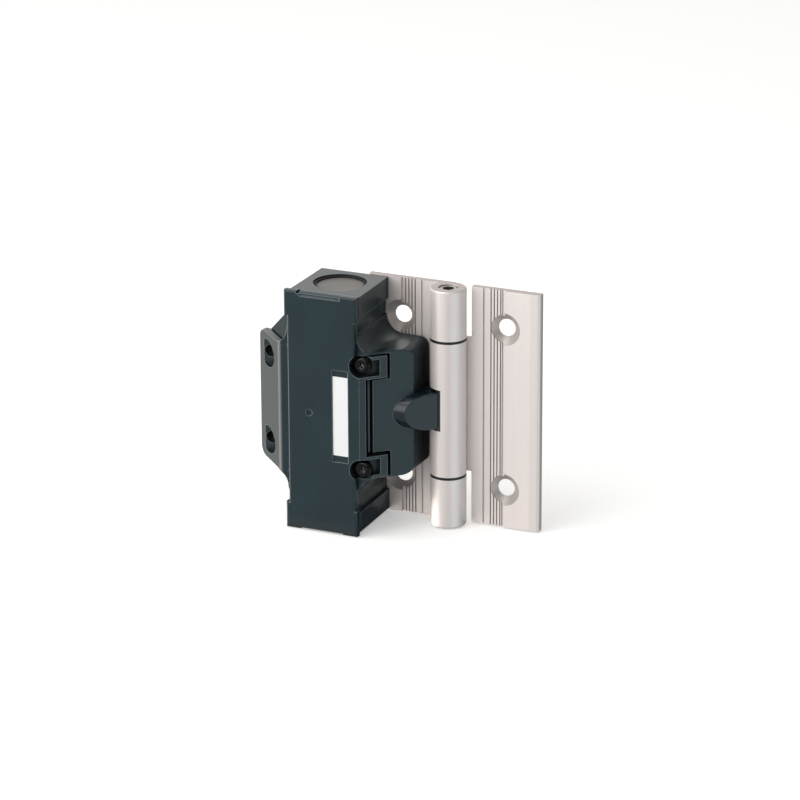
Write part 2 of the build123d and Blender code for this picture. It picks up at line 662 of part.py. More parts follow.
def cover_flank():
    """The cover's folded strip between the ears."""
    fold_x = FLANK_SLOPE - COVER_FRONT
    inset = FLANK_T * math.sqrt(0.5)
    end = (-FLANK_RIGHT, -FLANK_RIGHT - FLANK_SLOPE)
    back = (end[0] - inset, end[1] + inset)
    rim = (RIM_Y + back[0] - back[1], RIM_Y)
    inner = WAIST_RIGHT_X - WALL / 2
    pts = [(inner, COVER_FRONT_Y), (fold_x, COVER_FRONT_Y), end, back, rim, (inner, RIM_Y)]
    return plan_prism(pts, -EAR_INNER, EAR_INNER)


def tongue_cutter():
    """What is cut from the cover's top edge: the step in front of the tongue, its bevels and a slot."""
    front = COVER_FRONT_Y
    top = COVER_TOP
    step = front + TONGUE_STEP
    ledge = top - TONGUE_DROP
    pts = [(front, ledge - LEDGE_BEVEL), (front + LEDGE_BEVEL, ledge), (step, ledge), (step, top - TONGUE_BEVEL)]
    pts += [(step + TONGUE_BEVEL, top), (step + TONGUE_BEVEL, FAR), (-FAR, FAR), (-FAR, ledge - LEDGE_BEVEL)]
    left = -TONGUE_LEFT
    profile = Plane.YZ * make_face(Polyline(*pts, close=True))
    cutter = Pos(left, 0, 0) * extrude(profile, TONGUE_LEFT - TONGUE_RIGHT, dir=(1, 0, 0))
    return cutter + block(left - TONGUE_SLOT, left, -FAR, FAR, top - TONGUE_SLOT_DEPTH, FAR)


def front_cover():
    """The lid with its feet, tongue, label recess, folded flank and two screw ears."""
    plate = front_prism(cover_outline(), COVER_FRONT_Y, RIM_Y)
    front = plate.faces().sort_by(Axis.Y)[0]
    plate = fillet(front.edges(), COVER_ROUND)
    foot_left = COVER_FOOT_W - COVER_LEFT
    foot_right = CASE_RIGHT_X - COVER_FOOT_W
    plate -= block(foot_left, foot_right, -FAR, FAR, -FAR, COVER_FOOT_H - COVER_BOTTOM)
    body = plate - tongue_cutter() + cover_flank()
    for side in (-1, 1):
        body += ear(side) + screw_boss(side)
    for side in (-1, 1):
        body -= ear_pocket(side)
        body -= cover_screw_hole(side, SCREW_D)
    recess_y = COVER_FRONT_Y + LABEL_RECESS_DEPTH
    label_left = -LABEL_RIGHT - LABEL_W
    body -= block(label_left, -LABEL_RIGHT, -FAR, recess_y, -LABEL_RECESS_HALF, LABEL_RECESS_HALF)
    return body - rod_y(-DIMPLE_X, 0, DIMPLE_D, -FAR, COVER_FRONT_Y + DIMPLE_DEPTH)


def blank_label():
    """Plain label in the cover's recess."""
    y1 = COVER_FRONT_Y + LABEL_RECESS_DEPTH
    return block(-LABEL_RIGHT - LABEL_W, -LABEL_RIGHT, y1 - LABEL_T, y1, -LABEL_HALF, LABEL_HALF)


def cover_screws():
    """Two cross-recess screws in the cover's ears."""
    one = screw(SCREW_HEAD_D, SCREW_HEAD_T, SCREW_D, SCREW_LENGTH)
    for turn in (20, 110):
        slot = Box(CROSS_L, CROSS_W, CROSS_DEPTH)
        one -= Pos(0, 0, SCREW_HEAD_T - CROSS_DEPTH / 2) * Rot(0, 0, turn) * slot
    one = Rot(90, 0, 0) * one
    places = [Pos(-SCREW_REACH, SCREW_SEAT_Y, side * SCREW_PITCH / 2) for side in (-1, 1)]
    return Compound([place * one for place in places])


def entry_plug():
    """Grey disc that closes the cable entry."""
    top = CASE_TOP - ENTRY_SINK
    step = CASE_TOP - ENTRY_LIP
    disc = rod_z(-ENTRY_REACH, ENTRY_Y, ENTRY_D - 2 * ENTRY_RING_W, step, top)
    return disc + rod_z(-ENTRY_REACH, ENTRY_Y, ENTRY_D, step, CASE_TOP - ENTRY_PLUG_T)


def entry_ring():
    """Black sealing ring round the disc."""
    z0 = CASE_TOP - ENTRY_LIP
    z1 = CASE_TOP - ENTRY_RING_SINK
    ring = rod_z(-ENTRY_REACH, ENTRY_Y, ENTRY_D, z0, z1)
    return ring - rod_z(-ENTRY_REACH, ENTRY_Y, ENTRY_D - 2 * ENTRY_RING_W, 0, FAR)


def leaf_screws():
    """Two countersunk screws from the leaf's back into the housing."""
    return Compound([leaf_screw_cutter(side * LEAF_SCREW_Z) for side in (-1, 1)])


def plunger():
    """Plunger with its round tip, the slider that carries the bridges and the spring spigot."""
    centre_x = TIP_X - TIP_R
    body = Pos(centre_x, 0, 0) * Sphere(TIP_R)
    body += rod_x(0, 0, PLUNGER_D, centre_x, -SLIDER_REACH)
    body += block(SLIDER_END_X, -SLIDER_REACH, -TIP_R, TIP_R, -SLIDER_W / 2, SLIDER_W / 2)
    body += rod_x(0, 0, SPIGOT_D, SLIDER_END_X, SLIDER_END_X - SPIGOT_LENGTH)
    for reach in BRIDGE_REACHES:
        body -= bridge(reach)
    return body


def bridge(reach):
    """One contact bridge, seated in a slot of the slider."""
    return block(-reach - BRIDGE_T, -reach, -BRIDGE_W / 2, BRIDGE_W / 2, -BRIDGE_HALF, BRIDGE_HALF)


def contact_bridges():
    """The brass bridges that the slider carries."""
    return Compound([bridge(reach) for reach in BRIDGE_REACHES])


def plunger_seal():
    """Rubber ring round the plunger, behind the nose."""
    ring = rod_x(0, 0, SEAL_D, -NOSE_SHANK_REACH - SEAL_T, -NOSE_SHANK_REACH)
    return ring - rod_x(0, 0, PLUNGER_D + 2 * SEAL_GAP, -FAR, 0)


def return_spring():
    """Small compression spring between the block's end wall and the slider."""
    length = SLIDER_END_X - SPRING_SEAT_X - SPRING_WIRE
    radius = (SPRING_D - SPRING_WIRE) / 2
    path = Helix(length / SPRING_TURNS, length, radius)
    section = Plane(origin=path @ 0, z_dir=path % 0) * RegularPolygon(SPRING_WIRE / 2, SPRING_WIRE_SIDES)
    coil = sweep(section, path=path, is_frenet=True)
    return Pos(SPRING_SEAT_X + SPRING_WIRE / 2, 0, 0) * Rot(0, 90, 0) * coil


def terminal_places():
    """Each terminal's bridge reach and the side of its contact, above or below."""
    return [(reach, side) for reach in BRIDGE_REACHES for side in (-1, 1)]


def terminal_screw_x(reach):
    """X of a terminal screw, behind the contact's riser."""
    return -reach - TERMINAL_SETBACK


def fixed_contact(reach, side):
    """One bent brass contact: a riser that meets the bridge and a foot under the terminal."""
    x0 = CONTACT_GAP - reach
    z0 = side * CONTACT_IN
    z1 = side * CONTACT_OUT
    riser = block(x0, x0 + CONTACT_T, BLOCK_FRONT_Y - CONTACT_T, BRIDGE_W / 2, z0, z1)
    foot = block(x0 + CONTACT_T - FOOT_LENGTH, x0 + CONTACT_T, BLOCK_FRONT_Y - CONTACT_T, BLOCK_FRONT_Y, z0, z1)
    return riser + foot


def terminal_shank(reach, side):
    """The threaded length of one terminal screw."""
    y0 = BLOCK_FRONT_Y - CONTACT_T - CLAMP_T
    return rod_y(terminal_screw_x(reach), side * TERMINAL_Z, TERMINAL_D, y0, BLOCK_FRONT_Y + TERMINAL_DEPTH)


def fixed_contacts():
    """The four fixed contacts."""
    return Compound([fixed_contact(*place) - terminal_shank(*place) for place in terminal_places()])


def terminal_clamps():
    """Square clamping plates under the terminal screws."""
    plates = []
    for reach, side in terminal_places():
        x = terminal_screw_x(reach)
        z = side * TERMINAL_Z
        y1 = BLOCK_FRONT_Y - CONTACT_T
        plate = block(x - CLAMP_W / 2, x + CLAMP_W / 2, y1 - CLAMP_T, y1, z - CLAMP_W / 2, z + CLAMP_W / 2)
        plates.append(plate - terminal_shank(reach, side))
    return Compound(plates)


def terminal_screws():
    """Slotted screws of the four terminals."""
    seat = BLOCK_FRONT_Y - CONTACT_T - CLAMP_T
    length = TERMINAL_DEPTH + CONTACT_T + CLAMP_T
    one = screw(TERMINAL_HEAD_D, TERMINAL_HEAD_T, TERMINAL_D, length)
    one -= Pos(0, 0, TERMINAL_HEAD_T) * Box(TERMINAL_HEAD_D, TERMINAL_HEAD_T / 2, TERMINAL_HEAD_T)
    one = Rot(90, 0, 0) * one
    return Compound([Pos(terminal_screw_x(r), seat, s * TERMINAL_Z) * one for r, s in terminal_places()])


def block_screws():
    """Two screws that hold the contact block to the housing's floor."""
    seat = BLOCK_FRONT_Y + BLOCK_SCREW_HEAD_T
    one = Rot(90, 0, 0) * screw(BLOCK_SCREW_HEAD_D, BLOCK_SCREW_HEAD_T, BLOCK_SCREW_D, BLOCK_SCREW_TIP_Y - seat)
    return Compound([Pos(x, seat, z) * one for x, z in block_screw_places()])


def contact_block():
    """Moulded carrier: the slider's channel, the bridges' chambers and the contacts' slots."""
    body = block(BLOCK_LEFT_X, BLOCK_RIGHT_X, BLOCK_FRONT_Y, CAVITY_FLOOR_Y, -BLOCK_HALF, BLOCK_HALF)
    half_y = TIP_R + CHANNEL_GAP
    half_z = SLIDER_W / 2 + CHANNEL_GAP
    body -= block(SPRING_SEAT_X, 0, -half_y, FAR, -half_z, half_z)
    for reach in BRIDGE_REACHES:
        x0 = -reach - BRIDGE_T - PLUNGER_TRAVEL - CHANNEL_GAP
        x1 = -reach + CONTACT_GAP + CONTACT_T
        body -= block(x0, x1, -half_y, FAR, -CONTACT_OUT, CONTACT_OUT)
    for reach, side in terminal_places():
        body -= fixed_contact(reach, side)
        body -= terminal_shank(reach, side)
    for x, z in block_screw_places():
        body -= rod_y(x, z, BLOCK_SCREW_D, BLOCK_FRONT_Y, CAVITY_FLOOR_Y)
        body -= rod_y(x, z, BLOCK_SCREW_HEAD_D, BLOCK_FRONT_Y, BLOCK_FRONT_Y + BLOCK_SCREW_HEAD_T)
    return body


def pieces():
    """Every sub-part, by its node name."""
    return {
        "fixed_leaf": fixed_leaf(),
        "moving_leaf": moving_leaf(),
        "hinge_pin": hinge_pin(),
        "upper_bush": flanged_bush(1),
        "lower_bush": flanged_bush(-1),
        "upper_pin_screw": pin_screw(1),
        "lower_pin_screw": pin_screw(-1),
        "switching_cam": switching_cam(),
        "housing": housing(),
        "front_cover": front_cover(),
        "cover_gasket": cover_gasket(),
        "cover_screws": cover_screws(),
        "blank_label": blank_label(),
        "entry_plug": entry_plug(),
        "entry_ring": entry_ring(),
        "plunger_guide": plunger_guide(),
        "plunger_seal": plunger_seal(),
        "plunger": plunger(),
        "contact_bridges": contact_bridges(),
        "return_spring": return_spring(),
        "contact_block": contact_block(),
        "block_screws": block_screws(),
        "fixed_contacts": fixed_contacts(),
        "terminal_clamps": terminal_clamps(),
        "terminal_screws": terminal_screws(),
        "leaf_screws": leaf_screws(),
    }


def main():
    """Move each piece to the mounting frame and write it."""
    os.makedirs("parts", exist_ok=True)
    to_frame = Pos(LEAF_HOLE_REACH, -BACK_Y, 0)
    for name, shape in pieces().items():
        placed = [to_frame * solid for solid in shape.solids()]
        export_step(Compound(placed), f"parts/{name}.step")


main()
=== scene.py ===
import math

import bpy
from bpy.props import FloatProperty, FloatVectorProperty, PointerProperty
from mathutils import Matrix, Vector


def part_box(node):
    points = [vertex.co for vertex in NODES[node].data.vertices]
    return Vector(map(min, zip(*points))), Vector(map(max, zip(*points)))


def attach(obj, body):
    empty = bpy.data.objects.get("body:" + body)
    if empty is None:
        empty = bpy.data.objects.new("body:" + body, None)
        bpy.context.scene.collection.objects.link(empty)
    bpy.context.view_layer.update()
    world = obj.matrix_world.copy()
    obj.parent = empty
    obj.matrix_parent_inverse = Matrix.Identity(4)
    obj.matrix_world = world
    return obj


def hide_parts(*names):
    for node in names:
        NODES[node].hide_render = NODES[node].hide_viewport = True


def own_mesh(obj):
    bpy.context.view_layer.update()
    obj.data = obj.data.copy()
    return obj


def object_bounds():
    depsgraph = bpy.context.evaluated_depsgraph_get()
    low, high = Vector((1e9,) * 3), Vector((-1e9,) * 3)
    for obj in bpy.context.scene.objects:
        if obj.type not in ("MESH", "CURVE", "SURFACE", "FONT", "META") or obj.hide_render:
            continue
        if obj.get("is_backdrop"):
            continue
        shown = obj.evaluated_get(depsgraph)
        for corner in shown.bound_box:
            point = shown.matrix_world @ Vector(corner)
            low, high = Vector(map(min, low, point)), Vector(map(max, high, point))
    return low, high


bl_info = {
    "name": "Safety hinge switch",
    "version": (1, 0, 0),
    "blender": (4, 5, 0),
    "location": "3D View > Sidebar > Hinge Switch",
    "description": "Dresses the hinge switch: moulded housing, anodised leaves, screws, label and studio",
    "category": "Object",
}

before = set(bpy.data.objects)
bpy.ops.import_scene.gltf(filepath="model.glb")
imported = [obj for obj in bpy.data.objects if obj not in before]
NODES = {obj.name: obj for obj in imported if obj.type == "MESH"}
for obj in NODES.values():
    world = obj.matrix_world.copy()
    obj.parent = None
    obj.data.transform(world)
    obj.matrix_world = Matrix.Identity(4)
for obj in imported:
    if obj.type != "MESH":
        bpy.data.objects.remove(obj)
MM = 0.001

# The hinge's axis, in metres: the middle of the pin, half way up.
pin_low, pin_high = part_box("hinge_pin")
HINGE = (pin_low + pin_high) / 2
# A leaf hole's middle, to the side of the hinge's axis and up from half height.
HOLE_PLACE = (20.7 * MM, 0, 31.25 * MM)
# Distances from a hole's middle where the tone of its countersink ends and where it is full.
CONE_RIM = (6.8 * MM, 6.5 * MM)
# How far a normal lies along Y where that tone ends and is full: 1 on the leaf's faces, less on the cones.
CONE_FACING = (0.95, 0.85)
# How far a normal lies along Z where the painted shade of the end faces starts and is full.
END_SHADE_FACING = (0.8, 0.95)
# How far a rounded normal lies along the face's own where the lighter edge tone starts and is full: a painted
# highlight, on the screws also wear.
EDGE_HIGHLIGHT_FACING = (0.98, 0.85)


def linear(hex_colour):
    """An sRGB hex colour as linear red, green and blue."""
    text = hex_colour.lstrip("#")
    values = [int(text[i:i + 2], 16) / 255 for i in (0, 2, 4)]
    return tuple(v / 12.92 if v <= 0.04045 else ((v + 0.055) / 1.055) ** 2.4 for v in values)


def scaled(colour, factor):
    """A colour made darker or paler by a factor, up to white."""
    return tuple(min(1.0, factor * c) for c in colour)


def add_node(tree, kind, settings=(), inputs=(), links=()):
    """Adds one node. settings are its own options, inputs its socket values, links come from other nodes."""
    made = tree.nodes.new(kind)
    for name, value in dict(settings).items():
        setattr(made, name, value)
    for name, value in dict(inputs).items():
        made.inputs[name].default_value = value
    for name, source in dict(links).items():
        tree.links.new(source, made.inputs[name])
    return made


def new_material(name, colour, **shader):
    """A material with one Principled shader, whose constants stand on its own sockets."""
    made = bpy.data.materials.new(name)
    made.use_nodes = True
    tree = made.node_tree
    bsdf = tree.nodes["Principled BSDF"]
    bsdf.inputs["Base Color"].default_value = (*colour, 1)
    for socket, value in shader.items():
        bsdf.inputs[socket.replace("_", " ")].default_value = value
    return made, tree, bsdf


def surface_noise(tree, per_metre, detail, roughness=0.5):
    """A noise from 0 to 1 that stays on the piece, with so many grains to a metre along X, Y and Z."""
    place = add_node(tree, "ShaderNodeTexCoord")
    point = add_node(tree, "ShaderNodeMapping", {"vector_type": "POINT"}, {"Scale": per_metre},
                     {"Vector": place.outputs["Object"]})
    return add_node(tree, "ShaderNodeTexNoise", (), {"Scale": 1.0, "Detail": detail, "Roughness": roughness},
                    {"Vector": point.outputs["Vector"]}).outputs["Fac"]


def grain_bump(tree, bsdf, height, strength, depth, edge=0.0):
    """Ties a height to the shader as a bump of a depth, with edges broken at a radius, both in metres."""
    bump = add_node(tree, "ShaderNodeBump", (), {"Strength": strength, "Distance": depth}, {"Height": height})
    if edge:
        broken = add_node(tree, "ShaderNodeBevel", {"samples": 4}, {"Radius": edge})
        tree.links.new(broken.outputs["Normal"], bump.inputs["Normal"])
    tree.links.new(bump.outputs["Normal"], bsdf.inputs["Normal"])


def spread(tree, value, low, high):
    """Maps a 0 to 1 value to a range."""
    return add_node(tree, "ShaderNodeMapRange", (), {"To Min": low, "To Max": high},
                    {"Value": value}).outputs["Result"]


def rise(tree, value, start, full):
    """0 where a value is at its start and 1 where it is full, straight between them and level beyond."""
    return add_node(tree, "ShaderNodeMapRange", (), {"From Min": start, "From Max": full},
                    {"Value": value}).outputs["Result"]


def product(tree, one, other):
    """One value times another."""
    return add_node(tree, "ShaderNodeMath", {"operation": "MULTIPLY"}, (), {0: one, 1: other}).outputs[0]


def blended(tree, factor, below, above):
    """Two values mixed, each from another node, by a plain factor from 0 to 1."""
    return add_node(tree, "ShaderNodeMix", {"data_type": "FLOAT"}, {0: factor},
                    {2: below, 3: above}).outputs[0]


def mixed(tree, factor, below, above):
    """Two colours mixed, each a plain one or another node's: below where the factor is 0, above at 1."""
    mix = add_node(tree, "ShaderNodeMix", {"data_type": "RGBA"}, (), {0: factor})
    # Among the node's sockets, the two colours are the seventh and eighth.
    for socket, colour in ((6, below), (7, above)):
        if isinstance(colour, tuple):
            mix.inputs[socket].default_value = (*colour, 1)
        else:
            tree.links.new(colour, mix.inputs[socket])
    return mix.outputs[2]


def openness(tree, reach, shut, free):
    """0 deep in a pocket or groove and 1 on an open face, judged within a reach in metres; the materials use
    it to place painted shade.
    """
    hollow = add_node(tree, "ShaderNodeAmbientOcclusion", {"samples": 8}, {"Distance": reach})
    return rise(tree, hollow.outputs["AO"], shut, free)


def edge_line(tree, radius):
    """1 along edges and 0 on flat faces: how far a normal rounded at a radius turns from the face's own."""
    rounded = add_node(tree, "ShaderNodeBevel", {"samples": 6}, {"Radius": radius})
    face = add_node(tree, "ShaderNodeNewGeometry")
    turned = add_node(tree, "ShaderNodeVectorMath", {"operation": "DOT_PRODUCT"}, (),
                      {0: rounded.outputs["Normal"], 1: face.outputs["Normal"]})
    return rise(tree, turned.outputs["Value"], *EDGE_HIGHLIGHT_FACING)


def facing(tree, axis):
    """How far the face's normal lies along an axis of the piece, to either side."""
    normal = add_node(tree, "ShaderNodeTexCoord").outputs["Normal"]
    along = add_node(tree, "ShaderNodeVectorMath", {"operation": "DOT_PRODUCT"}, {1: axis}, {0: normal})
    return add_node(tree, "ShaderNodeMath", {"operation": "ABSOLUTE"}, (),
                    {0: along.outputs["Value"]}).outputs[0]


def countersunk(tree):
    """1 on the cones of the four leaf holes, which are cut through the etched skin and look greyer."""
    point = add_node(tree, "ShaderNodeTexCoord").outputs["Object"]
    # Folded over the hinge's axis and over half height, the four holes lie on one another.
    steps = (("SUBTRACT", (HINGE.x, 0, HINGE.z)), ("ABSOLUTE", (0, 0, 0)), ("SUBTRACT", HOLE_PLACE),
             ("MULTIPLY", (1, 0, 1)))
    for operation, value in steps:
        point = add_node(tree, "ShaderNodeVectorMath", {"operation": operation}, {1: value},
                         {0: point}).outputs["Vector"]
    away = add_node(tree, "ShaderNodeVectorMath", {"operation": "LENGTH"}, (), {0: point}).outputs["Value"]
    return product(tree, rise(tree, away, *CONE_RIM), rise(tree, facing(tree, (0, 1, 0)), *CONE_FACING))


def anodised_aluminium(colour):
    """Extruded, satin-etched, clear-anodised aluminium: pale, a soft sheen, faint lines up the leaf."""
    made, tree, bsdf = new_material("extruded_anodised_aluminium", colour, Metallic=0.45)
    # The die lines run up the leaf, about 0.25 mm apart and tens of millimetres long.
    lines = surface_noise(tree, (4000, 4000, 25), detail=3.0, roughness=0.6)
    # The etch leaves a matt frost of about 0.15 mm grain.
    frost = surface_noise(tree, (6500, 6500, 6500), detail=2.0)
    blend = blended(tree, 0.5, lines, frost)
    tree.links.new(spread(tree, blend, low=0.36, high=0.5), bsdf.inputs["Roughness"])
    grain_bump(tree, bsdf, blend, strength=0.18, depth=0.03 * MM)
    skin = mixed(tree, lines, scaled(colour, 0.94), scaled(colour, 1.05))
    # Painted shade: the end faces, top and bottom, are painted greyer and a little pink.
    end_shade_mask = rise(tree, facing(tree, (0, 0, 1)), *END_SHADE_FACING)
    ends = mixed(tree, end_shade_mask, skin, linear("#B9AFAD"))
    # Painted shade: the die grooves, 0.5 and 0.7 mm wide, are painted darker where they are closed in.
    groove_unshaded = openness(tree, reach=0.6 * MM, shut=0.3, free=0.8)
    grooves = mixed(tree, groove_unshaded, linear("#8A817D"), ends)
    bored = mixed(tree, countersunk(tree), grooves, linear("#BAB2AE"))
    tree.links.new(bored, bsdf.inputs["Base Color"])
    return made


def moulded_polyamide(colour):
    """Black glass-filled polyamide from a spark-eroded mould: fine dull grain, painted highlights on the
    edges, painted shade in the pockets.
    """
    made, tree, bsdf = new_material("moulded_black_polyamide", colour, IOR=1.5, Specular_IOR_Level=0.4)
    # The eroded grain is about 0.12 mm across; it is drawn at 0.5 mm, so that it shows.
    grain = surface_noise(tree, (2000, 2000, 2000), detail=3.0, roughness=0.6)
    # Flow and cooling leave slow cloudy changes over about 15 mm.
    cloud = surface_noise(tree, (65, 65, 65), detail=2.0)
    # Corners and pockets that no tool polishes and no hand rubs stay duller; they are also painted darker, as
    # painted shade.
    open_unshaded = openness(tree, reach=9 * MM, shut=0.35, free=0.85)
    pocket_roughness = 0.8
    rough = add_node(tree, "ShaderNodeMix", {"data_type": "FLOAT"}, {2: pocket_roughness},
                     {0: open_unshaded, 3: spread(tree, cloud, low=0.22, high=0.3)})
    tree.links.new(rough.outputs[0], bsdf.inputs["Roughness"])
    grain_bump(tree, bsdf, grain, strength=0.3, depth=0.03 * MM, edge=0.4 * MM)
    speck = blended(tree, 0.6, cloud, grain)
    skin = mixed(tree, speck, scaled(colour, 0.6), scaled(colour, 1.4))
    # Painted shade: closed-in corners and pockets are painted down to a tenth of the colour.
    shaded = mixed(tree, open_unshaded, scaled(colour, 0.1), skin)
    # Painted highlight: the open outer edges are painted a greyer, lighter line about 0.4 mm wide.
    edge_highlight = product(tree, edge_line(tree, 0.5 * MM), open_unshaded)
    tree.links.new(mixed(tree, edge_highlight, shaded, linear("#808C90")), bsdf.inputs["Base Color"])
    return made


def plain_plastic(name, colour, roughness):
    """Smooth moulded plastic with a faint unevenness."""
    made, tree, bsdf = new_material(name, colour, IOR=1.49)
    # Slow waves of about 4 mm in the gloss.
    waves = surface_noise(tree, (250, 250, 250), detail=2.0)
    tree.links.new(spread(tree, waves, roughness - 0.05, roughness + 0.05), bsdf.inputs["Roughness"])
    grain_bump(tree, bsdf, waves, strength=0.1, depth=0.05 * MM)
    return made


def plated_steel(name, colour, roughness, wear_and_highlight=None):
    """Turned steel with a plated or blackened skin, slightly mottled, its edges in another colour that is
    partly wear and partly a painted highlight.
    """
    made, tree, bsdf = new_material(name, colour, Metallic=1.0)
    # Mottling of about 0.8 mm from the bath.
    mottle = surface_noise(tree, (1200, 1200, 1200), detail=3.0)
    tree.links.new(spread(tree, mottle, roughness - 0.08, roughness + 0.08), bsdf.inputs["Roughness"])
    skin = mixed(tree, mottle, scaled(colour, 0.85), scaled(colour, 1.1))
    # The edges are painted lighter: partly wear of the skin, partly a painted highlight.
    if wear_and_highlight:
        skin = mixed(tree, edge_line(tree, 0.25 * MM), skin, wear_and_highlight)
    tree.links.new(skin, bsdf.inputs["Base Color"])
    grain_bump(tree, bsdf, mottle, strength=0.12, depth=0.02 * MM)
    return made


def seal_rubber(colour):
    """Moulded nitrile rubber: dull black with a powdery bloom."""
    made, tree, bsdf = new_material("moulded_nitrile_rubber", colour, IOR=1.52)
    # Bloom and grain of about 0.3 mm.
    bloom = surface_noise(tree, (3300, 3300, 3300), detail=4.0)
    tree.links.new(spread(tree, bloom, low=0.62, high=0.8), bsdf.inputs["Roughness"])
    grain_bump(tree, bsdf, bloom, strength=0.2, depth=0.04 * MM)
    return made


def white_film(colour):
    """White polyester label film: smooth, with a thin and slightly glossy coat."""
    made, tree, bsdf = new_material("white_polyester_film", colour, IOR=1.5, Coat_Weight=0.2,
                                    Coat_Roughness=0.2)
    # The coat's orange peel is about 0.6 mm.
    peel = surface_noise(tree, (1600, 1600, 1600), detail=2.0)
    tree.links.new(spread(tree, peel, low=0.38, high=0.5), bsdf.inputs["Roughness"])
    grain_bump(tree, bsdf, peel, strength=0.08, depth=0.02 * MM)
    return made


def give(material, *names):
    """Puts one material on CAD nodes."""
    for name in names:
        mesh = NODES[name].data
        mesh.materials.clear()
        mesh.materials.append(material)


class HingeSwitchFinishes(bpy.types.PropertyGroup):
    """Colours of the switch, as a user may want to change them."""

    aluminium: FloatVectorProperty(
        name="Leaves", description="Anodised aluminium of the hinge leaves", subtype="COLOR", size=3,
        min=0, max=1, default=linear("#E9E1DE"))
    moulding: FloatVectorProperty(
        name="Housing", description="Black polyamide of the housing, its cover and the nose", subtype="COLOR",
        size=3, min=0, max=1, default=linear("#15292F"))
    plug: FloatVectorProperty(
        name="Entry plug", description="Grey disc that closes the cable entry", subtype="COLOR", size=3,
        min=0, max=1, default=linear("#6B6864"))
    label: FloatVectorProperty(
        name="Label", description="White film of the blank label", subtype="COLOR", size=3,
        min=0, max=1, default=linear("#E3E4E4"))


class HingeSwitchScrews(bpy.types.PropertyGroup):
    """Sizes of the screw heads and of their cross recess."""

    head_height: FloatProperty(
        name="Head height", description="Head of a cover screw above its seat", subtype="DISTANCE",
        unit="LENGTH", default=2.2 * MM)
    cross_width: FloatProperty(
        name="Recess width", description="Width of a wing of the cross recess", subtype="DISTANCE",
        unit="LENGTH", default=0.85 * MM)
    cross_length: FloatProperty(
        name="Recess length", description="Length of the cross recess from tip to tip", subtype="DISTANCE",
        unit="LENGTH", default=3.9 * MM)


class HingeSwitchStudio(bpy.types.PropertyGroup):
    """Camera, floor and lamps."""

    azimuth: FloatProperty(
        name="Azimuth", description="Camera's turn to the right of straight ahead", subtype="ANGLE",
        default=math.radians(23.348))
    elevation: FloatProperty(
        name="Elevation", description="Camera's height above the horizontal", subtype="ANGLE",
        default=math.radians(19.483))
    distance: FloatProperty(
        name="Distance", description="Camera to hinge axis", subtype="DISTANCE", unit="LENGTH",
        default=1.4541)
    focal: FloatProperty(
        name="Focal length", description="Lens on a 36 mm wide sensor, in millimetres", default=177.35)
    aim_right: FloatProperty(
        name="Aim right", description="Tangent of the angle from hinge to picture's middle, rightwards",
        default=-0.012253)
    aim_up: FloatProperty(
        name="Aim up", description="Tangent of the angle from hinge to picture's middle, upwards",
        default=0.00151)
    level: FloatProperty(
        name="Light level", description="One scale for all the lamps", default=1.0, min=0)


class HINGESWITCH_OT_stage(bpy.types.Operator):
    """Floor, lamps, world and the camera at the photograph's angle"""

    bl_idname = "hingeswitch.stage"
    bl_label = "Stage"

    def execute(self, context):
        studio = context.scene.hinge_switch_studio
        floor_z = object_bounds()[0][2] - FLOOR_GAP
        make_floor(floor_z)
        make_world(context.scene)
        make_lamps(studio.level)
        make_camera(context.scene, studio)
        context.scene.view_settings.view_transform = "Standard"
        return {"FINISHED"}


FLOOR_SIZE = 12.0
FLOOR_GAP = 0.2 * MM
# Light that the floor gives to the camera alone, so that it looks as white as the photograph's ground.
FLOOR_GLOW = 0.35


def make_floor(floor_z):
    """A wide pale floor that keeps the object's shadow; glossy faces see the room's cards through it."""
    bpy.ops.object.select_all(action="DESELECT")
    bpy.ops.mesh.primitive_plane_add(size=FLOOR_SIZE, location=(0, 0, floor_z))
    floor = bpy.context.object
    floor.name = "studio_floor"
    made, tree, bsdf = new_material("matt_white_paper", linear("#F2F2F0"), Roughness=0.9)
    path = add_node(tree, "ShaderNodeLightPath")
    glow = add_node(tree, "ShaderNodeMath", {"operation": "MULTIPLY"}, {1: FLOOR_GLOW},
                    {0: path.outputs["Is Camera Ray"]})
    bsdf.inputs["Emission Color"].default_value = (1, 1, 1, 1)
    tree.links.new(glow.outputs[0], bsdf.inputs["Emission Strength"])
    clear = add_node(tree, "ShaderNodeBsdfTransparent")
    either = add_node(tree, "ShaderNodeMixShader", (), (),
                      {0: path.outputs["Is Glossy Ray"], 1: bsdf.outputs[0], 2: clear.outputs[0]})
    tree.links.new(either.outputs[0], tree.nodes["Material Output"].inputs["Surface"])
    made.cycles.emission_sampling = "NONE"
    floor.data.materials.append(made)
    floor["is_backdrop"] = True


# The room's own light: where it comes from, how far a direction lies along that at its darkest and its
# brightest, and its light there.
ROOM_FROM = (-0.55, 0.0, 0.83)
ROOM_TURN = (-0.6, 0.9)
ROOM_LIGHT = (0.02, 0.6)
# White cards round the object: where each stands as seen from it, the cosines at which it starts and is full,
# and its light.
CARDS = (
    ((-0.89, -0.28, -0.33), 0.84, 0.985, (5.0, 4.5, 4.1)),
    ((0.87, -0.37, -0.33), 0.8, 0.98, (0.93, 1.09, 1.13)),
    ((0.45, -0.05, -0.89), 0.88, 0.98, (1.1, 1.05, 0.95)),
    ((0.9, 0.3, -0.3), 0.75, 1.0, (0.18, 0.2, 0.22)),
    ((-0.37, -0.87, -0.33), 0.2, 0.9, (0.35, 0.35, 0.35)),
    ((-0.62, 0.72, -0.33), 0.75, 1.0, (0.54, 0.47, 0.4)),
    ((-0.37, 0.87, 0.33), 0.8, 0.98, (0.72, 0.69, 0.66)),
)


